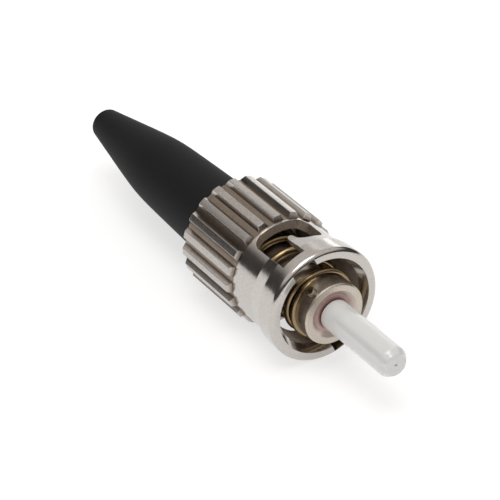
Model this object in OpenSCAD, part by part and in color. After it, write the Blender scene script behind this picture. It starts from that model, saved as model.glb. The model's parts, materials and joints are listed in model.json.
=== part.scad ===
// ST fibre connector: a bayonet plug with a ceramic ferrule and a slim boot for 0.9 mm buffered fibre.
//
// The plug's axis lies along X and the ferrule points to +X. The origin is on the axis, in the plane of the
// barrel's front face, and +Z is up, with the plug lying on the ribs of its coupling nut.
// Angles round the axis run from +Y towards +Z, which is the way the nut turns to lock.
// Lathe profiles are lists of [radius, place along X].

/* [Ferrule] */
// Diameter of the ferrule
ferrule_d = 2.5; // [2.3:0.05:2.6]
// Length of the ferrule that stands out of the barrel
ferrule_reach = 8.05; // [6.5:0.05:9.5]
// Length of the ferrule inside the barrel
ferrule_seat = 4.6; // [3:0.1:6]
// Diameter of the polished end face
end_face_d = 1.8; // [1.4:0.1:2.1]
// Length of the chamfer behind the end face
end_chamfer = 0.5; // [0.3:0.05:0.9]
// Diameter of the fibre hole
fibre_hole_d = 0.126; // [0.125:0.001:0.15]
// Length of the lead-in cone at the back of the fibre hole
lead_in_len = 0.8; // [0.4:0.1:1.5]
// Length of ferrule inside the countersink, in front of the glue groove
groove_setback = 0.1; // [0.05:0.01:0.12]
// Width of the glue groove round the ferrule
glue_groove_w = 0.55; // [0.55:0.01:0.6]
// Depth of the glue groove
glue_groove_depth = 0.2; // [0.18:0.01:0.3]

/* [Barrel] */
// Diameter of the front collar
collar_d = 5.2; // [4.9:0.1:5.6]
// Length of the front collar
collar_len = 1.4; // [1.2:0.1:1.8]
// Width of the chamfer on the collar's front edge
collar_edge = 0.12; // [0.05:0.01:0.2]
// Diameter of the countersink at the collar's face
countersink_d = 4; // [3.4:0.1:4.4]
// Depth of the countersink
countersink_depth = 0.4; // [0.2:0.05:0.6]
// Open ring left round the ferrule behind the countersink
ferrule_ring = 0.22; // [0.1:0.02:0.3]
// Depth of that ring, measured from the collar's face
ferrule_ring_depth = 0.9; // [0.7:0.1:1.2]
// Diameter of the shaft that carries the spring and the nut
shaft_d = 4.1; // [3.9:0.1:4.3]
// Diameter of the hole for the buffered fibre
buffer_hole_d = 1.1; // [1:0.05:1.3]
// Length of shaft behind the retaining clip
tail_len = 0.65; // [0.5:0.05:1]

/* [Key] */
// Diameter of the key
key_d = 0.75; // [0.5:0.05:0.9]
// Height of the key above the collar
key_height = 0.45; // [0.4:0.05:0.85]
// Depth of the key's hole in the collar
key_seat = 0.6; // [0.4:0.05:0.8]
// Angle of the key round the axis
key_angle = 128; // [0:1:359]

/* [Spring and washer] */
// Diameter of the spring wire
wire_d = 0.6; // [0.5:0.05:0.65]
// Gap between the spring and the shaft
spring_gap = 0.25; // [0.2:0.05:0.3]
// Turns that work
active_turns = 4; // [3:0.5:5]
// Closed turns at each end
closed_turns = 1; // [1:0.25:1.5]
// Angle of the wire's front end round the axis
spring_turn = 106; // [0:2:358]
// Thickness of the thrust washer
washer_t = 0.3; // [0.2:0.05:0.5]
// Gap between the washer and the wall of the nut
washer_gap = 0.25; // [0.15:0.05:0.4]

/* [Coupling nut] */
// Distance from the barrel's front face back to the nut's mouth
nut_setback = 1.35; // [0.8:0.05:2]
// Diameter of the nut's bore
nut_bore_d = 7.3; // [7.1:0.05:7.5]
// Depth of the bore, from the mouth to the inner flange
nut_bore_depth = 9.65; // [9:0.05:11]
// Thickness of the inner flange
nut_flange_t = 1.2; // [0.8:0.1:1.6]
// Diameter of the neck and of the grooves between the ribs
neck_d = 8.88; // [8.7:0.02:9]
// Diameter of the rim and across the ribs
rim_d = 9.7; // [9.6:0.05:10]
// Length of the rim, from the mouth back to the crease
rim_len = 1.95; // [1.6:0.05:2.2]
// Drop of the rim from its widest to the crease
rim_fall = 0.08; // [0.04:0.01:0.12]
// Length of the flare between the rim and the neck
flare_len = 1.45; // [1:0.05:1.6]
// Radius of the rim's front edge
rim_round = 0.42; // [0.3:0.02:0.5]
// Diameter of the mouth's bevel
mouth_d = 8.1; // [7.8:0.05:8.3]
// Depth of the mouth's bevel
mouth_depth = 0.85; // [0.4:0.05:1.2]
// Depth of the skirt behind the inner flange
skirt_depth = 2.35; // [1.8:0.05:3]
// Diameter inside the skirt
skirt_bore_d = 7.2; // [7.1:0.05:7.5]
// Chamfer on the nut's back edges
nut_back_edge = 0.08; // [0.05:0.01:0.2]

/* [Ribs] */
// Number of ribs
rib_count = 20; // [16:1:24]
// Length of the ribs, from the nut's back
rib_len = 7.05; // [6:0.05:7.2]
// Width of a rib at its flat tip
rib_tip_w = 0.58; // [0.4:0.02:0.7]
// Width of a rib where it leaves the groove
rib_root_w = 0.92; // [0.75:0.01:0.98]
// Length of the slope at a rib's front end
rib_front_slope = 0.22; // [0.1:0.02:0.4]
// Length of the slope at a rib's back end
rib_back_slope = 0.36; // [0.1:0.02:0.5]
// Angle of the first rib round the axis
rib_phase = 3; // [0:0.5:17]

/* [Bayonet slots] */
// Number of slots
slot_count = 2; // [2:1:2]
// Angle of the first slot's straight leg round the axis
slot_angle = 116; // [90:1:135]
// Width of the straight leg
leg_w = 2.06; // [1.9:0.01:2.3]
// Distance from the mouth back to where the leg breaks through
leg_open = 1.25; // [1.2:0.05:2]
// Radius that the entry channel reaches inside the rim
channel_r = 4.5; // [4.3:0.02:4.56]
// Distance from the mouth back to the slot's rear edge
slot_depth = 5.88; // [5.7:0.02:6.1]
// Width of the cross run
run_w = 1.84; // [1.7:0.02:1.9]
// Turn from the leg to the far end of the detent
slot_turn = 40; // [38:1:46]
// Angle covered by the flat of the detent
detent_flat = 7; // [4:1:9]
// How far the detent reaches forward of the cross run
detent_lift = 1.1; // [0.7:0.02:1.2]
// Radius of the hook's tip
hook_r = 0.26; // [0.15:0.01:0.28]

/* [Retaining clip] */
// Thickness of the clip
clip_t = 0.4; // [0.3:0.05:0.6]
// Depth of the clip's groove in the shaft
clip_groove = 0.3; // [0.2:0.05:0.4]
// Radial height of the clip
clip_w = 0.95; // [0.7:0.05:1.1]
// Opening of the clip
clip_opening = 70; // [40:5:100]

/* [Backpost] */
// Diameter of the spigot pressed into the barrel
spigot_d = 2.7; // [2.3:0.1:2.9]
// Length of the spigot
spigot_len = 2; // [1.5:0.1:3]
// Diameter of the post's flange
post_flange_d = 5; // [4.6:0.1:5.4]
// Thickness of the post's flange
post_flange_t = 0.6; // [0.4:0.1:0.8]
// Diameter over the post's grip rings
post_d = 3.2; // [2.8:0.1:3.6]
// Length of the post behind its flange
post_len = 6; // [5:0.25:8]
// Number of grip rings
ring_count = 8; // [5:1:10]
// Depth between the grip rings
ring_depth = 0.2; // [0.1:0.02:0.3]

/* [Boot] */
// Length of the boot
boot_len = 21.3; // [19:0.1:25]
// Diameter of the boot at its root
boot_root_d = 6.65; // [6:0.05:6.8]
// Diameter of the boot where it starts to narrow
boot_bend_d = 5.85; // [5.2:0.05:6]
// Distance from the root back to that bend
boot_bend = 11.9; // [10:0.1:13]
// Diameter of the boot at its tip
boot_tip_d = 2.62; // [2.4:0.02:3.2]
// Softness of the bend
bend_soft = 0.22; // [0.1:0.02:0.4]
// Radius of the boot's tip edge
boot_tip_round = 0.35; // [0.2:0.05:0.45]
// Diameter of the boot's hole for the buffered fibre
boot_hole_d = 1.1; // [1:0.05:1.3]

/* [Clearances] */
// Gap all round between the shaft and what turns or slides on it
running_gap = 0.06; // [0.03:0.01:0.1]
// Gap along the axis between faces that slide on each other
face_gap = 0.03; // [0.01:0.01:0.08]

/* [Hidden] */
$fn = 96;

// radii
ferrule_r = ferrule_d / 2;
collar_r = collar_d / 2;
shaft_r = shaft_d / 2;
neck_r = neck_d / 2;
rim_r = rim_d / 2;
nut_bore_r = nut_bore_d / 2;
running_r = shaft_r + running_gap;
wire_r = wire_d / 2;
coil_r = shaft_r + spring_gap + wire_r;
groove_r = shaft_r - clip_groove;
outside_r = rim_r + 1;

// places along the axis, from the front to the back
nut_front = -nut_setback;
crease = nut_front - rim_len;
flare_back = crease - flare_len;
slot_back = nut_front - slot_depth;
flange_front = nut_front - nut_bore_depth;
flange_back = flange_front - nut_flange_t;
nut_back = flange_back - skirt_depth;
washer_back = flange_front + face_gap;
washer_front = washer_back + washer_t;
spring_front = -collar_len;
spring_back = washer_front + face_gap;
clip_front = flange_back - face_gap;
clip_back = clip_front - clip_t;
barrel_back = clip_back - tail_len;
spigot_front = barrel_back + spigot_len;
boot_front = barrel_back - post_flange_t;
post_back = boot_front - post_len;
boot_back = boot_front - boot_len;

// the bayonet slot, by the path of the cutter's centre
run_r = run_w / 2;
run_x = slot_back + run_r;
detent_x = run_x + detent_lift;
leg_side = asin(leg_w / 2 / neck_r);
run_side = asin(run_r / neck_r);
hook_from = -leg_side;
hook_to = -(slot_turn - detent_flat - run_side);
hook_x = run_x + run_r + hook_r;
cut_overlap = 0.02;

// spring
closed_pitch = wire_d * 1.03;
ground = wire_d * 0.2;
all_turns = active_turns + 2 * closed_turns;
coil_span = spring_front - spring_back - 2 * ground;
active_pitch = (coil_span - 2 * closed_turns * closed_pitch) / active_turns;
turn_steps = 28;
wire_sides = 12;

// Points of an arc, from one angle to another.
function arc(centre, radius, from, to, steps = 12) =
    [for (i = [0:steps]) let (a = from + (to - from) * i / steps) centre + radius * [cos(a), sin(a)]];

// Turns a profile of [radius, place along X] round the axis.
module lathe(profile) {
    rotate([0, 90, 0]) rotate_extrude() polygon(profile);
}

// A ring that covers only the angles between from and to.
module ring_sector(x_back, x_front, inner, outer, from, to) {
    rotate([0, 90, 0])
        rotate([0, 0, 90 + from])
            rotate_extrude(angle = to - from)
                translate([inner, x_back]) square([outer - inner, x_front - x_back]);
}

// A cylinder that stands out from the axis at an angle.
module spoke(x, angle, radius, from_r, to_r) {
    rotate([angle, 0, 0])
        translate([x, from_r, 0])
            rotate([-90, 0, 0]) cylinder(h = to_r - from_r, r = radius);
}

// A straight block that stands out from the axis at an angle.
module radial_block(x_back, x_front, angle, width, from_r, to_r) {
    rotate([angle, 0, 0])
        translate([x_back, from_r, -width / 2]) cube([x_front - x_back, to_r - from_r, width]);
}

module ferrule() {
    hole_r = fibre_hole_d / 2;
    glue_r = ferrule_r - glue_groove_depth;
    glue_back = -groove_setback - glue_groove_w;
    color("WhiteSmoke")
        lathe([
            [hole_r, ferrule_reach],
            [end_face_d / 2, ferrule_reach],
            [ferrule_r, ferrule_reach - end_chamfer],
            [ferrule_r, -groove_setback],
            [glue_r, -groove_setback],
            [glue_r, glue_back],
            [ferrule_r, glue_back],
            [ferrule_r, -ferrule_seat],
            [hole_r + lead_in_len / 2, -ferrule_seat],
            [hole_r, -ferrule_seat + lead_in_len]
        ]);
}

module barrel() {
    ring_r = ferrule_r + ferrule_ring;
    color("Silver")
        difference() {
            lathe([
                [countersink_d / 2, 0],
                [collar_r - collar_edge, 0],
                [collar_r, -collar_edge],
                [collar_r, -collar_len],
                [shaft_r, -collar_len],
                [shaft_r, clip_front],
                [groove_r, clip_front],
                [groove_r, clip_back],
                [shaft_r, clip_back],
                [shaft_r, barrel_back],
                [spigot_d / 2, barrel_back],
                [spigot_d / 2, spigot_front],
                [buffer_hole_d / 2, spigot_front],
                [buffer_hole_d / 2, -ferrule_seat],
                [ferrule_r, -ferrule_seat],
                [ferrule_r, -ferrule_ring_depth],
                [ring_r, -ferrule_ring_depth],
                [ring_r, -countersink_depth]
            ]);
            spoke(-collar_len / 2, key_angle, key_d / 2, collar_r - key_seat, collar_r + 1);
        }
}

module key_pin() {
    color("Gray")
        spoke(-collar_len / 2, key_angle, key_d / 2, collar_r - key_seat, collar_r + key_height);
}

// Place of the coil's centre line after a number of turns, with closed turns at both ends.
function coil_x(turns) =
    let (front = min(turns, closed_turns), back = max(turns - closed_turns - active_turns, 0))
        spring_front - ground - (front + back) * closed_pitch - (turns - front - back) * active_pitch;

// One point on the wire's skin, held between the two flats that the ends are ground to.
function wire_point(turns, side) =
    let (
        a = 360 * turns + spring_turn,
        r = coil_r + wire_r * cos(side),
        x = coil_x(turns) + wire_r * sin(side)
    ) [min(max(x, spring_back), spring_front), r * cos(a), r * sin(a)];

module coil_spring() {
    steps = round(all_turns * turn_steps);
    points = [
        for (i = [0:steps], j = [0:wire_sides - 1])
            wire_point(all_turns * i / steps, 360 * (j + 0.5) / wire_sides)
    ];
    walls = [
        for (i = [0:steps - 1], j = [0:wire_sides - 1])
            let (k = (j + 1) % wire_sides, a = i * wire_sides, b = a + wire_sides)
                each [[a + j, a + k, b + k], [a + j, b + k, b + j]]
    ];
    first_end = [for (j = [wire_sides - 1:-1:0]) j];
    last_end = [for (j = [0:wire_sides - 1]) steps * wire_sides + j];
    color("DarkKhaki")
        polyhedron(points, concat(walls, [first_end], [last_end]), convexity = 10);
}

module spring_washer() {
    outer = nut_bore_r - washer_gap;
    color("DarkGray")
        lathe([
            [running_r, washer_front],
            [outer, washer_front],
            [outer, washer_back],
            [running_r, washer_back]
        ]);
}

// Turned body of the nut, without ribs or slots.
module nut_blank() {
    skirt_r = skirt_bore_d / 2;
    round_x = nut_front - rim_round;
    lathe(concat(
        [
            [nut_bore_r, nut_front - mouth_depth],
            [mouth_d / 2, nut_front]
        ],
        arc([rim_r - rim_round, round_x], rim_round, 90, 0),
        [
            [rim_r - rim_fall, crease],
            [neck_r, flare_back],
            [neck_r, nut_back + nut_back_edge],
            [neck_r - nut_back_edge, nut_back],
            [skirt_r + nut_back_edge, nut_back],
            [skirt_r, nut_back + nut_back_edge],
            [skirt_r, flange_back],
            [running_r, flange_back],
            [running_r, flange_front],
            [nut_bore_r, flange_front]
        ]
    ));
}

// Ribs with flat tips, sloped down to the neck at both ends.
module nut_ribs() {
    root_r = neck_r - 0.3;
    over_r = rim_r + 0.1;
    ribs_front = nut_back + rib_len;
    slope_r = neck_r - 0.05;
    intersection() {
        translate([nut_back, 0, 0])
            rotate([0, 90, 0])
                linear_extrude(rib_len)
                    for (i = [0:rib_count - 1])
                        rotate(90 + rib_phase + i * 360 / rib_count)
                            polygon([
                                [root_r, -rib_root_w / 2],
                                [neck_r, -rib_root_w / 2],
                                [rim_r, -rib_tip_w / 2],
                                [rim_r, rib_tip_w / 2],
                                [neck_r, rib_root_w / 2],
                                [root_r, rib_root_w / 2]
                            ]);
        lathe([
            [0, ribs_front],
            [slope_r, ribs_front],
            [over_r, ribs_front - rib_front_slope],
            [over_r, nut_back + rib_back_slope],
            [slope_r, nut_back],
            [0, nut_back]
        ]);
    }
}

// Cutter for one J-slot, with the middle of its straight leg at angle 0.
module bayonet_slot() {
    mill_r = run_r + cut_overlap;
    inner = neck_r / 2;
    // entry channel inside the closed rim
    radial_block(nut_front - leg_open - cut_overlap, nut_front + 1, 0, leg_w, inner, channel_r);
    // leg, open through the wall, with a rounded corner where it meets the cross run
    radial_block(run_x, nut_front - leg_open, 0, leg_w, inner, outside_r);
    spoke(run_x, leg_side - run_side, mill_r, inner, outside_r);
    // cross run, detent and the hook's rounded tip between the leg and the detent
    difference() {
        union() {
            ring_sector(slot_back, slot_back + run_w, inner, outside_r, -slot_turn, leg_side - run_side);
            ring_sector(run_x, hook_x, inner, outside_r, hook_to - 1, hook_from + 1);
        }
        spoke(hook_x, (hook_from + hook_to) / 2, hook_r, 0, outside_r + 1);
    }
    spoke(run_x, -slot_turn, mill_r, inner, outside_r);
    radial_block(run_x, detent_x, -slot_turn, run_w, inner, outside_r);
    ring_sector(run_x, detent_x + run_r, inner, outside_r, -slot_turn, detent_flat - slot_turn);
    for (lobe = [0, detent_flat]) spoke(detent_x, lobe - slot_turn, mill_r, inner, outside_r);
}

module coupling_nut() {
    color("LightGray")
        difference() {
            union() {
                nut_blank();
                nut_ribs();
            }
            for (i = [0:slot_count - 1])
                rotate([slot_angle + i * 360 / slot_count, 0, 0]) bayonet_slot();
        }
}

module retaining_clip() {
    color("DimGray")
        translate([clip_back, 0, 0])
            rotate([0, 90, 0])
                rotate([0, 0, clip_opening / 2])
                    rotate_extrude(angle = 360 - clip_opening)
                        translate([groove_r, 0]) square([clip_w, clip_t]);
}

module backpost() {
    ring_pitch = post_len / ring_count;
    valley_r = post_d / 2 - ring_depth;
    color("Silver")
        lathe(concat(
            [
                [buffer_hole_d / 2, spigot_front],
                [spigot_d / 2, spigot_front],
                [spigot_d / 2, barrel_back],
                [post_flange_d / 2, barrel_back],
                [post_flange_d / 2, boot_front]
            ],
            [
                for (i = [0:ring_count - 1])
                    let (x = boot_front - i * ring_pitch)
                        each [[valley_r, x], [post_d / 2, x - ring_pitch * 0.7], [valley_r, x - ring_pitch]]
            ],
            [[buffer_hole_d / 2, post_back]]
        ));
}

// Radius of the boot at a distance behind its root: a slight taper, then a steep one, blended softly.
function boot_radius(back) =
    let (
        slight = boot_root_d / 2 + (boot_bend_d - boot_root_d) / 2 * back / boot_bend,
        steep = boot_bend_d / 2 + (boot_tip_d - boot_bend_d) / 2 * (back - boot_bend) / (boot_len - boot_bend)
    ) (slight + steep - sqrt(pow(slight - steep, 2) + pow(bend_soft, 2))) / 2;

module boot() {
    hole_r = boot_hole_d / 2;
    body_len = boot_len - boot_tip_round;
    tip_r = boot_radius(body_len);
    steps = 24;
    color("DimGray")
        lathe(concat(
            [[post_d / 2, boot_front]],
            [for (i = [0:steps]) let (back = body_len * i / steps) [boot_radius(back), boot_front - back]],
            arc([tip_r - boot_tip_round, boot_front - body_len], boot_tip_round, -15, -90, 5),
            [
                [hole_r, boot_back],
                [hole_r, post_back - post_d / 2 + hole_r],
                [post_d / 2, post_back]
            ]
        ));
}

ferrule();
barrel();
key_pin();
coil_spring();
spring_washer();
coupling_nut();
retaining_clip();
backpost();
boot();
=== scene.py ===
# %% [markdown]
# # An ST fibre connector, dressed in Blender
# This plug joins an optical fibre to a panel. A white ceramic ferrule carries the fibre's end,
# a spring pushes on a ribbed bayonet nut, and a rubber boot keeps the fibre from kinking.
# The solids come ready-made and full size from the CAD frame, in metres, with the axis along X.
# What is left for Blender is the finish: how plated brass, ceramic, spring wire and moulded
# rubber catch the light, and how crisp machined edges shine.

# %% Load the frame
import json
import math
import bmesh
import bpy
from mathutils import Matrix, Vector

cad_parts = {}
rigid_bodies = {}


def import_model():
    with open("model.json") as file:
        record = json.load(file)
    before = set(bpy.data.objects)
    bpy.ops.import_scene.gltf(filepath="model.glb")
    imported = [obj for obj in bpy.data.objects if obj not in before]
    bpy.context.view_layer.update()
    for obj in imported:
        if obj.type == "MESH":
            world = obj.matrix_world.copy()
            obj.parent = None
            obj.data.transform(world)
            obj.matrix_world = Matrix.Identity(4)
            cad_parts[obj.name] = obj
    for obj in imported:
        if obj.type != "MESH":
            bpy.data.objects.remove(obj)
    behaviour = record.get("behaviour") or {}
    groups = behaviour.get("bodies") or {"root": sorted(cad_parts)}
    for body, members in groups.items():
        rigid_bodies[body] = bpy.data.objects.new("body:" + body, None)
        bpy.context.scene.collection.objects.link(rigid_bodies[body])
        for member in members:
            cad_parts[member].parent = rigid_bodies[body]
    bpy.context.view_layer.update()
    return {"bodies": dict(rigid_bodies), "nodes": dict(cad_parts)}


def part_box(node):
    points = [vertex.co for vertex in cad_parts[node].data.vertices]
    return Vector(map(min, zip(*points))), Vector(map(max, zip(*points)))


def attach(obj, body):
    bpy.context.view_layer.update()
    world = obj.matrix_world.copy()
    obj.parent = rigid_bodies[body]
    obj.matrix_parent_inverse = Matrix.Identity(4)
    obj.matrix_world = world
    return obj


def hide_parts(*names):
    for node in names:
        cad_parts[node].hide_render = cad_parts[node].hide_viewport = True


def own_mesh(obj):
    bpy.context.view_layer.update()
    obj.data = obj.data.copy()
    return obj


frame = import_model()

MM = 0.001
print("nodes:", sorted(frame["nodes"]))

# %% Measure what the pieces are built against
ferrule_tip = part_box("ferrule")[1].x
boot_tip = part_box("boot")[0].x
lowest_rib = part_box("coupling_nut")[0].z
spring_back, spring_front = (corner.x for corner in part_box("coil_spring"))
print("ferrule tip at x =", round(ferrule_tip / MM, 2), "mm, boot tip at x =", round(boot_tip / MM, 2), "mm")
print("the spring lies from x =", round(spring_back / MM, 2), "to", round(spring_front / MM, 2), "mm")

# %% [markdown]
# ## The camera
# Small things are shot from a distance with a long lens, so that the near end doesn't swell.
# Azimuth and elevation say which way the camera stands from the plug, and a helper turns them
# into a place and a turn. That is easier to adjust than three angles typed by hand.

# %% Camera
def look_from(azimuth, elevation, distance, lens, target):
    """A camera that looks at target. Azimuth 0 looks along +Y, and a positive elevation looks down."""
    a, e = math.radians(azimuth), math.radians(elevation)
    back = Vector((math.sin(a) * math.cos(e), -math.cos(a) * math.cos(e), math.sin(e)))
    data = bpy.data.cameras.new("studio_camera")
    data.lens = lens
    data.sensor_width = 36
    data.clip_start = 0.001
    data.clip_end = 10
    camera = bpy.data.objects.new("studio_camera", data)
    camera.location = target + back * distance
    camera.rotation_euler = back.to_track_quat("Z", "Y").to_euler()
    bpy.context.scene.collection.objects.link(camera)
    bpy.context.scene.camera = camera
    return camera


MIDDLE_OF_PLUG = Vector((-12 * MM, 0, -0.6 * MM))
camera = look_from(57.75, 31.9, 0.2, 182.5, MIDDLE_OF_PLUG)
print("camera at", [round(v, 3) for v in camera.location])

# %% [markdown]
# ## Materials
# Every finish starts from the Principled shader. A plain number goes straight on the shader's own
# socket, and a texture is wired in only where the surface really varies.
# The textures read Object coordinates, which are in metres, so a scale of 2000 makes spots half
# a millimetre wide. The first three helpers only place and link nodes, and the spring's tree
# uses them again.

# %% Node helpers
def put(tree, socket, value):
    """Links an output to a socket, or writes a number on it."""
    if isinstance(value, bpy.types.NodeSocket):
        tree.links.new(value, socket)
    else:
        socket.default_value = value


def add(tree, kind, **given):
    """A new node. Each input is given by its name, as a number or as another node's output."""
    node = tree.nodes.new(kind)
    for label, value in given.items():
        put(tree, node.inputs[label.replace("_", " ")], value)
    return node


def calc(tree, operation, *values):
    """One Math node of the tree, and its result."""
    node = tree.nodes.new("ShaderNodeMath")
    node.operation = operation
    for socket, value in zip(node.inputs, values):
        put(tree, socket, value)
    return node.outputs[0]


# %% Material helpers
def new_material(name, **settings):
    """A node material. Each setting is written straight on the Principled shader's own socket."""
    material = bpy.data.materials.new(name)
    material.use_nodes = True
    for label, value in settings.items():
        shader_of(material).inputs[label.replace("_", " ")].default_value = value
    return material


def shader_of(material):
    """The Principled shader of a material."""
    return material.node_tree.nodes["Principled BSDF"]


def feed(material, socket, value):
    """Links a value or a colour to one socket of the shader."""
    material.node_tree.links.new(value, shader_of(material).inputs[socket])


def fed_by(material, socket):
    """What already feeds one socket of the shader."""
    return shader_of(material).inputs[socket].links[0].from_socket


def spread(tree, value, start, end, low=0.0, high=1.0):
    """Low where value is at start, high where it is at end, and a straight slope between."""
    ends = {"From_Min": start, "From_Max": end, "To_Min": low, "To_Max": high}
    return add(tree, "ShaderNodeMapRange", Value=value, **ends).outputs["Result"]


def noise_on(tree, scale, detail):
    """A noise texture on the piece's own Object coordinates. Nearly all of it lies from 0.3 to 0.7."""
    place = tree.nodes.new("ShaderNodeTexCoord").outputs["Object"]
    return add(tree, "ShaderNodeTexNoise", Vector=place, Scale=scale, Detail=detail).outputs["Fac"]


def colour_stops(ramp, stops):
    """Lays colours on a ramp. stops is [(place from 0 to 1, colour), ...], from left to right."""
    row = ramp.color_ramp.elements
    row[0].position, row[1].position = stops[0][0], stops[-1][0]
    for place, _ in stops[1:-1]:
        row.new(place)
    for stop, (_, colour) in zip(row, stops):
        stop.color = (*colour, 1)


def grain(material, value, depth):
    """Fine relief from a value, at most depth metres high."""
    bump = add(material.node_tree, "ShaderNodeBump", Strength=1.0, Distance=depth, Height=value)
    feed(material, "Normal", bump.outputs["Normal"])


# %% [markdown]
# ### Bright nickel
# The nut, the barrel and the small turned parts are brass with a nickel plate over it. The plate is
# warm grey and shiny, but it copies the tool marks and the pits of the brass below.
# Two noises do that: a wide one for the gloss, and a fine one for the grain and the speckle.
# Inside a bore the grey is painted browner and a little darker, as shade, and it is rougher.

# %% Nickel
NOISE_LOW, NOISE_HIGH = 0.3, 0.7
GRAIN_SCALE, GLOSS_SCALE = 11000, 1500


def plated(name, dark, light, gloss, grain_depth):
    """Nickel plate between two greys. gloss is (lowest, highest) roughness."""
    material = new_material(name, Metallic=1.0)
    tree = material.node_tree
    fine = noise_on(tree, GRAIN_SCALE, 3.0)
    ramp = add(tree, "ShaderNodeValToRGB", Fac=fine)
    colour_stops(ramp, [(NOISE_LOW, dark), (NOISE_HIGH, light)])
    feed(material, "Base Color", ramp.outputs["Color"])
    feed(material, "Roughness", spread(tree, noise_on(tree, GLOSS_SCALE, 5.0), NOISE_LOW, NOISE_HIGH, *gloss))
    grain(material, fine, grain_depth)
    return material


nut_nickel = plated("nut_nickel", (0.465, 0.435, 0.405), (0.59, 0.56, 0.53), (0.13, 0.18), 0.0008 * MM)
# the bore's browner, darker greys are painted shade of the recess
bore_nickel_shaded = plated("bore_nickel_shaded", (0.40, 0.345, 0.29), (0.64, 0.56, 0.48), (0.42, 0.55), 0.003 * MM)
barrel_nickel = plated("barrel_nickel", (0.44, 0.38, 0.31), (0.64, 0.58, 0.51), (0.28, 0.40), 0.0016 * MM)
key_nickel = plated("key_nickel", (0.20, 0.17, 0.13), (0.36, 0.32, 0.26), (0.12, 0.20), 0.0016 * MM)
print("nickel grains are about", round(1 / GRAIN_SCALE / MM, 2), "mm wide")

# %% [markdown]
# ### Spring wire and plain steel
# Music wire is drawn through a die, so it is smoother than the plate and keeps a straw colour from
# the heat that sets it. A dark gold metal with low roughness gives the thin bright lines on it.
# The washer and the clip are stamped steel, a little duller, and hardly show.

# %% Spring wire and steel
spring_wire = new_material("spring_wire", Base_Color=(0.29, 0.215, 0.125, 1), Metallic=1.0, Roughness=0.2)
clip_steel = new_material("clip_steel", Base_Color=(0.55, 0.54, 0.52, 1), Metallic=1.0, Roughness=0.3)
print("plain metals:", spring_wire.name, "and", clip_steel.name)

# %% [markdown]
# ### Zirconia
# The ferrule is white zirconia, ground and then polished. It lets a little light in under its skin,
# which softens its shadows, so it gets some subsurface scattering with a short reach.

# %% Zirconia
LIGHT_REACH = 0.4 * MM
zirconia = new_material(
    "zirconia",
    Base_Color=(0.70, 0.70, 0.69, 1),
    Roughness=0.18,
    IOR=1.9,
    Subsurface_Weight=0.35,
    Subsurface_Radius=(1.0, 1.0, 1.0),
    Subsurface_Scale=LIGHT_REACH,
)
print("light goes about", LIGHT_REACH / MM, "mm into the", zirconia.name)

# %% [markdown]
# ### Epoxy
# The ferrule is bonded into the barrel. A thin film of heat-cured epoxy creeps into the countersink
# and darkens as it cures, which is why that cone looks pink and the ring at the ferrule maroon.
# Its colour depends only on the distance from the plug's axis, and a few nodes measure that from
# the Object coordinates. An image would need a mapping, and this doesn't.

# %% Epoxy
def radius_and_place(tree):
    """The distance from the plug's axis at each point of the surface, and its place along X, in metres."""
    place = tree.nodes.new("ShaderNodeTexCoord").outputs["Object"]
    split = add(tree, "ShaderNodeSeparateXYZ", Vector=place).outputs
    spoke = add(tree, "ShaderNodeCombineXYZ", Y=split["Y"], Z=split["Z"])
    radius = add(tree, "ShaderNodeVectorMath", Vector=spoke.outputs["Vector"])
    radius.operation = "LENGTH"
    return radius.outputs["Value"], split["X"]


def rings_of_colour(material, inner, outer, stops):
    """Colours from inner to outer radius. stops is [(share of the way out, colour), ...]."""
    tree = material.node_tree
    ramp = add(tree, "ShaderNodeValToRGB", Fac=spread(tree, radius_and_place(tree)[0], inner, outer))
    colour_stops(ramp, stops)
    feed(material, "Base Color", ramp.outputs["Color"])


MAROON, RUSSET, ROSE = (0.13, 0.04, 0.035), (0.44, 0.27, 0.24), (0.54, 0.41, 0.37)
TAN, BEIGE = (0.61, 0.50, 0.45), (0.64, 0.58, 0.52)
FERRULE_R, BEAD_R = 1.25, 1.6
FILM_R, COUNTERSINK_R = 1.5, 2.0
epoxy_film = new_material("epoxy_film", Roughness=0.35, Metallic=0.6)
rings_of_colour(epoxy_film, FILM_R * MM, COUNTERSINK_R * MM, [(0.0, ROSE), (0.45, TAN), (1.0, BEIGE)])
epoxy_bead = new_material("epoxy_bead", Roughness=0.4)
rings_of_colour(epoxy_bead, FERRULE_R * MM, BEAD_R * MM, [(0.0, MAROON), (0.3, RUSSET), (1.0, ROSE)])
print("the film reaches a radius of", COUNTERSINK_R, "mm")

# %% [markdown]
# ### Bright crests, painted shade in the grooves
# The grooves between the ribs are painted a darker brown as shade, while the crests keep the plain
# plate, and fine pits speckle the whole ribbed part. The distance from the axis tells crests
# from grooves. A second test along X keeps the painted shade and the pits off the smooth neck in front.

# %% Painted shade in the grooves, and pits
RIB_FRONT, FADE = -7.45 * MM, 0.1 * MM
GROOVE_R, CREST_R = 4.5 * MM, 4.74 * MM
# the brown that is multiplied into the grooves as painted shade
GROOVE_SHADE = (0.52, 0.45, 0.39)
PIT_SCALE, PIT_LOW, PIT_HIGH, LEFT_IN_A_PIT = 14000, 0.32, 0.58, 0.66
MORE_MATT = 0.09

tree = nut_nickel.node_tree
radius, along = radius_and_place(tree)
on_neck = spread(tree, along, RIB_FRONT, RIB_FRONT + FADE)

# the film here is painted shade: the grooves' plate is multiplied by a darker brown
film = tree.nodes.new("ShaderNodeMix")
film.data_type, film.blend_type = "RGBA", "MULTIPLY"
# 1 on the crests and on the neck, which keep the plain plate; below 1 the painted shade comes in
unshaded = calc(tree, "MAXIMUM", spread(tree, radius, GROOVE_R, CREST_R), on_neck)
put(tree, film.inputs["Factor"], calc(tree, "SUBTRACT", 1.0, unshaded))
put(tree, film.inputs["A"], fed_by(nut_nickel, "Base Color"))
put(tree, film.inputs["B"], (*GROOVE_SHADE, 1))
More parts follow.
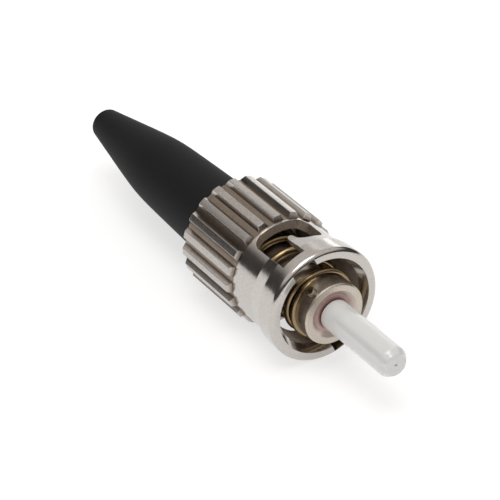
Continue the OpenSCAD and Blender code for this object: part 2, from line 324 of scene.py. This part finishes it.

# the noise gives the share of the colour that is left, from a pit's middle to the plain plate
pits = spread(tree, noise_on(tree, PIT_SCALE, 2.0), PIT_LOW, PIT_HIGH, LEFT_IN_A_PIT, 1.0)
pitted = tree.nodes.new("ShaderNodeVectorMath")
pitted.operation = "SCALE"
put(tree, pitted.inputs[0], film.outputs["Result"])
put(tree, pitted.inputs["Scale"], calc(tree, "MAXIMUM", pits, on_neck))
feed(nut_nickel, "Base Color", pitted.outputs["Vector"])

matt = spread(tree, along, RIB_FRONT, RIB_FRONT + FADE, MORE_MATT, 0.0)
feed(nut_nickel, "Roughness", calc(tree, "ADD", fed_by(nut_nickel, "Roughness"), matt))
# the film in this print is the painted shade of the grooves
print("the film, the pits and the matt finish start behind x =", round(RIB_FRONT / MM, 2), "mm")

# %% [markdown]
# ### Moulded rubber
# The boot is moulded in a blasted die, which leaves it matt with a very fine grain.
# A high roughness, a weak highlight and a shallow bump are enough for that.

# %% Rubber
RUBBER_SCALE, RUBBER_GRAIN = 7000, 0.01 * MM
boot_rubber = new_material(
    "boot_rubber", Base_Color=(0.006, 0.0055, 0.006, 1), Roughness=0.7, Specular_IOR_Level=0.22
)
grain(boot_rubber, noise_on(boot_rubber.node_tree, RUBBER_SCALE, 2.0), RUBBER_GRAIN)
print("the rubber's grain is", RUBBER_GRAIN / MM, "mm deep")

# %% [markdown]
# ## Skins for the turned parts
# The CAD frame's triangles are loose, so light breaks at every facet of a round wall. A copy of each
# one is merged first, and flat neighbours are joined into one face. Then a tiny bevel is cut on the
# outward corners: no machined edge is perfectly sharp, and that sliver draws a bright line along it.

# %% Merge and bevel a copy
SAME_PLACE = 0.0001 * MM
SAME_PLANE = math.radians(0.4)
SHARP_CORNER = math.radians(28)


def merged_copy(node, edge):
    """A bmesh copy of a CAD node, merged, and its bevel's faces. The bevel is edge metres wide."""
    work = bmesh.new()
    work.from_mesh(frame["nodes"][node].data)
    bmesh.ops.remove_doubles(work, verts=work.verts, dist=SAME_PLACE)
    bmesh.ops.dissolve_limit(
        work, angle_limit=SAME_PLANE, verts=work.verts, edges=work.edges, use_dissolve_boundaries=False
    )
    slivers = set()
    if edge:
        corners = [e for e in work.edges if e.is_convex and e.calc_face_angle(0) > SHARP_CORNER]
        cut = bmesh.ops.bevel(
            work, geom=corners, offset=edge, segments=2, profile=0.5, affect="EDGES", clamp_overlap=False
        )
        slivers = set(cut["faces"])
    work.normal_update()
    return work, slivers


print("corners sharper than", round(math.degrees(SHARP_CORNER)), "degrees get a bevel")

# %% [markdown]
# ### Normals by a rule
# Nearly every wall here was turned on a lathe, so the true normal at a corner of a face points
# straight out from the axis there, tipped only by the slope of the wall. Blender's own average is
# pulled aside wherever a slot or a rib cuts into the wall, and polished metal would show it.
# So the slope is averaged, between neighbours closer than a crease, and the direction is not.

# %% Slopes of the turned walls
FLAT_END = 0.985
TURNED = math.sin(math.radians(3))
SAME_REACH = 0.002 * MM
MOST_TWIST = math.radians(12)


def outward(place):
    """The direction straight out from the axis at a place."""
    return Vector((0, place.y, place.z)).normalized()


def turned_slope(face):
    """The slope of a wall that was turned on the lathe and the side it faces, or None for any other face."""
    if abs(face.normal.x) > FLAT_END:
        return None
    out = outward(face.calc_center_median())
    around = Vector((1, 0, 0)).cross(out)
    if abs(face.normal.dot(around)) > TURNED:
        return None
    rise = face.normal.dot(out)
    return math.atan2(face.normal.x, abs(rise)), math.copysign(1, rise)


def reach(face):
    """How far a face reaches along X, back and front."""
    along = [vert.co.x for vert in face.verts]
    return min(along), max(along)


def same_row(face, other):
    """Whether two faces reach equally far along X."""
    return sum(abs(a - b) for a, b in zip(reach(face), reach(other))) < SAME_REACH


def level_rows(slopes):
    """Two rings of corners that are out of step leave a zigzag row of triangles, some steeper than the
    wall and some flatter. Each one takes the mean of itself and its neighbours in the row."""
    level = dict(slopes)
    for face, slope in slopes.items():
        if slope and len(face.verts) == 3:
            beside = [f for edge in face.edges for f in edge.link_faces if f is not face]
            row = [slopes[f][0] for f in beside if slopes.get(f) and same_row(face, f)]
            row = [s for s in row if abs(s - slope[0]) < MOST_TWIST]
            if row:
                level[face] = ((slope[0] + sum(row) / len(row)) / 2, slope[1])
    return level


print("walls within", round(math.degrees(math.asin(TURNED))), "degrees of round count as turned")

# %% One normal for each corner
def lathe_normals(work, slivers, crease):
    """One normal for each corner of each face, in the order of the mesh."""
    slopes = level_rows({face: turned_slope(face) for face in work.faces if face not in slivers})
    walls = {}

    def turned_normal(face, vert):
        """Straight out from the axis, tipped by the mean slope of the smooth neighbours."""
        slope, side = slopes[face]
        beside = [slopes[f][0] for f in vert.link_faces if slopes.get(f)]
        near = {round(s, 3) for s in beside if abs(s - slope) < crease}
        mean = sum(near) / len(near)
        return Vector((math.sin(mean), 0, 0)) + outward(vert.co) * (math.cos(mean) * side)

    def flat_normal(face, vert):
        """The mean normal of the smooth neighbours that weren't turned."""
        total = Vector((0, 0, 0))
        for f in vert.link_faces:
            if f not in slivers and not slopes[f] and f.normal.angle(face.normal, math.pi) < 2 * crease:
                total += f.normal * f.calc_area()
        return total.normalized() if total.length else face.normal.copy()

    def wall_normal(face, vert):
        """The normal of a wall at one of its corners."""
        if (face, vert) not in walls:
            walls[face, vert] = (turned_normal if slopes[face] else flat_normal)(face, vert)
        return walls[face, vert]

    def corner_normal(face, vert):
        """A wall's own normal. On a bevel it is the normal of the closest wall that meets it there."""
        if face not in slivers:
            return wall_normal(face, vert)
        beside = [f for f in vert.link_faces if f not in slivers]
        if beside:
            return wall_normal(min(beside, key=lambda f: f.normal.angle(face.normal, math.pi)), vert)
        return sum((f.normal for f in vert.link_faces), Vector((0, 0, 0))).normalized()

    return [corner_normal(face, loop.vert) for face in work.faces for loop in face.loops]


CREASE = math.radians(8.5)
print("walls that meet at over", math.degrees(CREASE), "degrees keep a crease")

# %% Skin helpers
def in_scene(name, mesh):
    """A new object for a mesh, at the origin."""
    piece = bpy.data.objects.new(name, mesh)
    bpy.context.scene.collection.objects.link(piece)
    return piece


def skin(node, name, material, edge):
    """A merged copy of a CAD node, beveled and with the normals of a turned part."""
    work, slivers = merged_copy(node, edge)
    work.faces.index_update()
    normals = lathe_normals(work, slivers, CREASE)
    mesh = bpy.data.meshes.new(name)
    work.to_mesh(mesh)
    work.free()
    mesh.materials.append(material)
    mesh.shade_smooth()
    mesh.normals_split_custom_set(normals)
    print(name, "has", len(slivers), "bevel faces")
    return in_scene(name, mesh)


def show(piece, node):
    """The piece rides with the node's body and stands for the node, which is hidden."""
    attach(piece, next(b for b, empty in frame["bodies"].items() if frame["nodes"][node].parent == empty))
    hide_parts(node)
    print(piece.name, "stands for", node, "with", len(piece.data.polygons), "faces")


# %% Dress the solids
SKINS = {
    "ferrule": ("ferrule_skin", zirconia, 0.1 * MM, "ceramic"),
    "barrel": ("barrel_skin", barrel_nickel, 0.03 * MM, "nickel"),
    "key_pin": ("key_pin_skin", key_nickel, 0.04 * MM, "nickel"),
    "spring_washer": ("washer_skin", clip_steel, 0.02 * MM, "steel"),
    "coupling_nut": ("nut_skin", nut_nickel, 0.03 * MM, "plated_nut"),
    "retaining_clip": ("clip_skin", clip_steel, 0.02 * MM, "steel"),
    "backpost": ("backpost_skin", barrel_nickel, 0.0, "nickel"),
    "boot": ("boot_skin", boot_rubber, 0.0, "boot_rubber"),
}
skins = {}
for node, (name, material, edge, slot) in SKINS.items():
    skins[node] = skin(node, name, material, edge)
    show(skins[node], node)

# %% [markdown]
# ### Two finishes on one piece
# The nut's bore is painted browner and darker than its outside, as shade, and the countersink in
# the barrel carries the film of epoxy. Both are walls of a piece that has one finish elsewhere. A second
# material slot on
# the same mesh keeps it one piece, and a test on each face's place says which walls take it:
# in the nut, a radius between its inner walls and its outer ones tells the two apart.

# %% Paint the bore and the countersink
INSIDE_R, BEHIND_MOUTH = 4.38, -2.25
COUNTERSINK_BACK, COUNTERSINK_FRONT = -0.42, -0.02


def paint_faces(piece, material, wanted):
    """Another material for the faces whose middle passes wanted(place along X, radius), in millimetres."""
    piece.data.materials.append(material)
    number = len(piece.data.materials) - 1
    painted = 0
    for face in piece.data.polygons:
        middle = face.center
        if wanted(middle.x / MM, math.hypot(middle.y, middle.z) / MM):
            face.material_index = number
            painted += 1
    print(painted, "faces of", piece.name, "are", material.name)


# the nut's inner walls take the bore's greys, which paint shade into the bore
paint_faces(skins["coupling_nut"], bore_nickel_shaded, lambda x, r: r < INSIDE_R and x < BEHIND_MOUTH)
paint_faces(
    skins["barrel"], epoxy_film, lambda x, r: COUNTERSINK_BACK < x < COUNTERSINK_FRONT and r < COUNTERSINK_R
)

# %% [markdown]
# ### The bead of epoxy
# Where the ferrule leaves the barrel, surplus epoxy stands round it in a thin hollow fillet.
# It is round, so a short profile turned about the axis makes it. The profile starts in the glue
# groove that is cut round the ferrule and ends in the open ring behind the countersink. Both ends
# are out of sight there, so they need no fitting to the walls.

# %% Bead of epoxy round the ferrule
def turned_ring(name, profile, material, sides=96):
    """A ring turned round the X axis from a closed profile of (radius, place along X), in millimetres."""
    rows = len(profile)
    places = []
    for side in range(sides):
        a = math.tau * side / sides
        places += [(x * MM, r * MM * math.cos(a), r * MM * math.sin(a)) for r, x in profile]
    faces = []
    for side in range(sides):
        here, there = side * rows, (side + 1) % sides * rows
        for row in range(rows):
            up = (row + 1) % rows
            faces.append((here + row, here + up, there + up, there + row))
    mesh = bpy.data.meshes.new(name)
    mesh.from_pydata(places, [], faces)
    work = bmesh.new()
    work.from_mesh(mesh)
    bmesh.ops.recalc_face_normals(work, faces=work.faces)
    work.to_mesh(mesh)
    work.free()
    mesh.materials.append(material)
    mesh.shade_smooth()
    mesh.set_sharp_from_angle(angle=math.radians(40))
    print(name, "has", len(faces), "faces")
    return in_scene(name, mesh)


IN_THE_GROOVE = [(1.06, -0.6), (1.06, -0.16)]
FILLET = [(FERRULE_R, -0.13), (1.28, -0.22), (1.36, -0.29), (1.46, -0.32), (BEAD_R, -0.30)]
IN_THE_RING = [(1.47, -0.4), (1.47, -0.6)]
bead = turned_ring("epoxy_fillet", IN_THE_GROOVE + FILLET + IN_THE_RING, epoxy_bead)
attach(bead, "plug")

# %% [markdown]
# ### The coil spring, from a rule
# A compression spring follows a rule: the wire climbs fast in the working turns and lies closed at
# both ends, where it is ground flat. Points are laid out one after another, and the place of each
# comes only from its number. Geometry Nodes can do that sum for every point at once, and
# Curve to Mesh then draws the wire round the path.

# %% The tree and its named inputs
def tree_with(name, sizes):
    """A Geometry Nodes tree with a named input for each size. sizes is {name: socket type}."""
    tree = bpy.data.node_groups.new(name, "GeometryNodeTree")
    tree.interface.new_socket("Geometry", in_out="INPUT", socket_type="NodeSocketGeometry")
    tree.interface.new_socket("Geometry", in_out="OUTPUT", socket_type="NodeSocketGeometry")
    keys = {}
    for label, kind in sizes.items():
        keys[label] = tree.interface.new_socket(label, in_out="INPUT", socket_type=kind).identifier
    return tree, tree.nodes.new("NodeGroupInput").outputs, tree.nodes.new("NodeGroupOutput").inputs, keys


NUMBERS = (
    "Front", "Back", "Coil Radius", "Wire Radius", "Ground",
    "Closed Turns", "Working Turns", "Closed Pitch", "Start Angle",
)
SIZES = {label: "NodeSocketFloat" for label in NUMBERS}
SIZES.update({"Points": "NodeSocketInt", "Wire Sides": "NodeSocketInt", "Material": "NodeSocketMaterial"})
winding, given, wire_out, winding_keys = tree_with("wind_a_spring", SIZES)
print("the tree takes", len(winding_keys), "inputs")

# %% The sum for each point of the wire
closed, working = given["Closed Turns"], given["Working Turns"]
both_closed = calc(winding, "MULTIPLY", closed, 2.0)
all_turns = calc(winding, "ADD", working, both_closed)
last_point = calc(winding, "SUBTRACT", given["Points"], 1.0)
number = winding.nodes.new("GeometryNodeInputIndex").outputs["Index"]
turns = calc(winding, "MULTIPLY", calc(winding, "DIVIDE", number, last_point), all_turns)

# turns spent in the front closed end, in the back closed end, and between them
past_front = calc(winding, "SUBTRACT", turns, closed)
in_front = calc(winding, "MINIMUM", turns, closed)
in_back = calc(winding, "MAXIMUM", calc(winding, "SUBTRACT", past_front, working), 0.0)
in_closed = calc(winding, "ADD", in_front, in_back)
in_working = calc(winding, "SUBTRACT", turns, in_closed)

# the working pitch is what is left of the length once both closed ends are laid down
pitch = given["Closed Pitch"]
length = calc(winding, "SUBTRACT", given["Front"], given["Back"])
open_length = calc(winding, "SUBTRACT", length, calc(winding, "MULTIPLY", given["Ground"], 2.0))
free_length = calc(winding, "SUBTRACT", open_length, calc(winding, "MULTIPLY", both_closed, pitch))
working_pitch = calc(winding, "DIVIDE", free_length, working)

first_x = calc(winding, "SUBTRACT", given["Front"], given["Ground"])
after_closed = calc(winding, "SUBTRACT", first_x, calc(winding, "MULTIPLY", in_closed, pitch))
coil_x = calc(winding, "SUBTRACT", after_closed, calc(winding, "MULTIPLY", in_working, working_pitch))
angle = calc(winding, "ADD", calc(winding, "MULTIPLY", turns, math.tau), given["Start Angle"])
coil_y = calc(winding, "MULTIPLY", calc(winding, "COSINE", angle), given["Coil Radius"])
coil_z = calc(winding, "MULTIPLY", calc(winding, "SINE", angle), given["Coil Radius"])
place = add(winding, "ShaderNodeCombineXYZ", X=coil_x, Y=coil_y, Z=coil_z).outputs["Vector"]
print("the sum takes", len(winding.nodes), "nodes")

# %% The path becomes wire
line = add(winding, "GeometryNodeMeshLine", Count=given["Points"]).outputs["Mesh"]
laid = add(winding, "GeometryNodeSetPosition", Geometry=line, Position=place).outputs["Geometry"]
path = add(winding, "GeometryNodeMeshToCurve", Mesh=laid).outputs["Curve"]
section = winding.nodes.new("GeometryNodeCurvePrimitiveCircle")
put(winding, section.inputs["Resolution"], given["Wire Sides"])
put(winding, section.inputs["Radius"], given["Wire Radius"])
outline = section.outputs["Curve"]
wire = add(winding, "GeometryNodeCurveToMesh", Curve=path, Profile_Curve=outline, Fill_Caps=True)

# both ends are ground flat: nothing of the wire may stand past them
was_at = winding.nodes.new("GeometryNodeInputPosition").outputs["Position"]
was = add(winding, "ShaderNodeSeparateXYZ", Vector=was_at).outputs
flat_x = calc(winding, "MAXIMUM", calc(winding, "MINIMUM", was["X"], given["Front"]), given["Back"])
held = add(winding, "ShaderNodeCombineXYZ", X=flat_x, Y=was["Y"], Z=was["Z"]).outputs["Vector"]
ground = add(winding, "GeometryNodeSetPosition", Geometry=wire.outputs["Mesh"], Position=held)

real = add(winding, "GeometryNodeRealizeInstances", Geometry=ground.outputs["Geometry"]).outputs["Geometry"]
coated = add(winding, "GeometryNodeSetMaterial", Geometry=real, Material=given["Material"])
put(winding, wire_out["Geometry"], coated.outputs["Geometry"])
print("the whole tree has", len(winding.nodes), "nodes")

# %% Wind the spring
def grow(name, tree, keys, sizes):
    """Runs a tree on an empty object and keeps the result as a plain mesh object, without the modifier."""
    seed = in_scene(name + "_seed", bpy.data.meshes.new(name + "_seed"))
    modifier = seed.modifiers.new(name, "NODES")
    modifier.node_group = tree
    for label, value in sizes.items():
        modifier[keys[label]] = value
    depsgraph = bpy.context.evaluated_depsgraph_get()
    mesh = bpy.data.meshes.new_from_object(seed.evaluated_get(depsgraph))
    seed.modifiers.clear()
    bpy.data.objects.remove(seed)
    mesh.name = name
    return in_scene(name, mesh)


WIRE_D = 0.6 * MM
CLOSED_TURNS, WORKING_TURNS, POINTS_A_TURN = 1, 4, 56
spring = grow(
    "spring_coil",
    winding,
    winding_keys,
    {
        "Front": spring_front,
        "Back": spring_back,
        "Coil Radius": 2.6 * MM,
        "Wire Radius": WIRE_D / 2,
        "Ground": WIRE_D * 0.2,
        "Closed Turns": float(CLOSED_TURNS),
        "Working Turns": float(WORKING_TURNS),
        "Closed Pitch": WIRE_D * 1.03,
        "Start Angle": math.radians(106),
        "Points": (2 * CLOSED_TURNS + WORKING_TURNS) * POINTS_A_TURN + 1,
        "Wire Sides": 20,
        "Material": spring_wire,
    },
)
spring.data.shade_smooth()
spring.data.set_sharp_from_angle(angle=math.radians(50))
show(spring, "coil_spring")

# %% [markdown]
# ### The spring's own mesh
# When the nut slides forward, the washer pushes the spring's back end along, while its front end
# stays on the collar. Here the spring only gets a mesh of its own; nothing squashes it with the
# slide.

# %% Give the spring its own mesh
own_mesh(spring)

# %% [markdown]
# ## Table, light and air
# A white sweep lies under the nut's lowest ribs. Shiny metal shows what is around it, so the room
# decides how it looks: a white table below, a pale ceiling above, and a darker band of room
# between them, which gives the nut its dark stripe. Two weak lamps stand low behind, a wide one
# and a small one, for the bright patch on the flare. The strongest hangs overhead.

# %% Table
TABLE_SIDES = 64
TABLE_RINGS = [(1.2, 0.0), (1.5, 0.02), (1.8, 0.06), (1.95, 0.1)]
table_places, table_faces = [], [tuple(range(TABLE_SIDES))]
for ring, (table_radius, height) in enumerate(TABLE_RINGS):
    for side in range(TABLE_SIDES):
        a = math.tau * side / TABLE_SIDES
        table_places.append((table_radius * math.cos(a), table_radius * math.sin(a), lowest_rib + height))
    if ring:
        inner = (ring - 1) * TABLE_SIDES
        outer = ring * TABLE_SIDES
        for side in range(TABLE_SIDES):
            after = (side + 1) % TABLE_SIDES
            table_faces.append((inner + side, outer + side, outer + after, inner + after))
white_card = new_material(
    "white_card",
    Base_Color=(0.45, 0.45, 0.45, 1),
    Roughness=0.9,
    Emission_Color=(1, 1, 1, 1),
    Emission_Strength=0.63,
)
table_mesh = bpy.data.meshes.new("table")
table_mesh.from_pydata(table_places, [], table_faces)
table_mesh.shade_smooth()
table_mesh.materials.append(white_card)
table = in_scene("table", table_mesh)
print("the table lies at z =", round(lowest_rib / MM, 2), "mm")


# %% Lamps
def softbox(name, location, size, power):
    """A rectangular lamp that faces the plug."""
    data = bpy.data.lights.new(name, "AREA")
    data.shape = "RECTANGLE"
    data.size, data.size_y = size
    data.energy = power
    lamp = bpy.data.objects.new(name, data)
    lamp.location = location
    lamp.rotation_euler = Vector(location).to_track_quat("Z", "Y").to_euler()
    bpy.context.scene.collection.objects.link(lamp)
    print(name, "stands", round(Vector(location).length, 2), "m away")


softbox("back_wide", (-0.489, 0.294, 0.185), (0.42, 0.32), 0.34)
softbox("back_strip", (-0.44, 0.397, 0.094), (0.14, 0.1), 0.05)
softbox("overhead", (0.1, -0.12, 0.6), (0.4, 0.4), 1.5)

# %% Room
ROOM_COLOURS = [
    (0.0, (0.05, 0.046, 0.044)),
    (0.42, (0.075, 0.069, 0.066)),
    (0.60, (0.75, 0.72, 0.69)),
    (0.9, (0.75, 0.73, 0.71)),
    (1.0, (1.0, 1.0, 1.0)),
]
room = bpy.data.worlds.new("studio")
bpy.context.scene.world = room
room.use_nodes = True
direction = room.node_tree.nodes.new("ShaderNodeTexCoord").outputs["Generated"]
up = add(room.node_tree, "ShaderNodeSeparateXYZ", Vector=direction).outputs["Z"]
height_colour = add(room.node_tree, "ShaderNodeValToRGB", Fac=up)
colour_stops(height_colour, ROOM_COLOURS)
put(room.node_tree, room.node_tree.nodes["Background"].inputs["Color"], height_colour.outputs["Color"])
bpy.context.scene.view_settings.view_transform = "Standard"
print("the room has", len(ROOM_COLOURS), "colours from floor to ceiling")
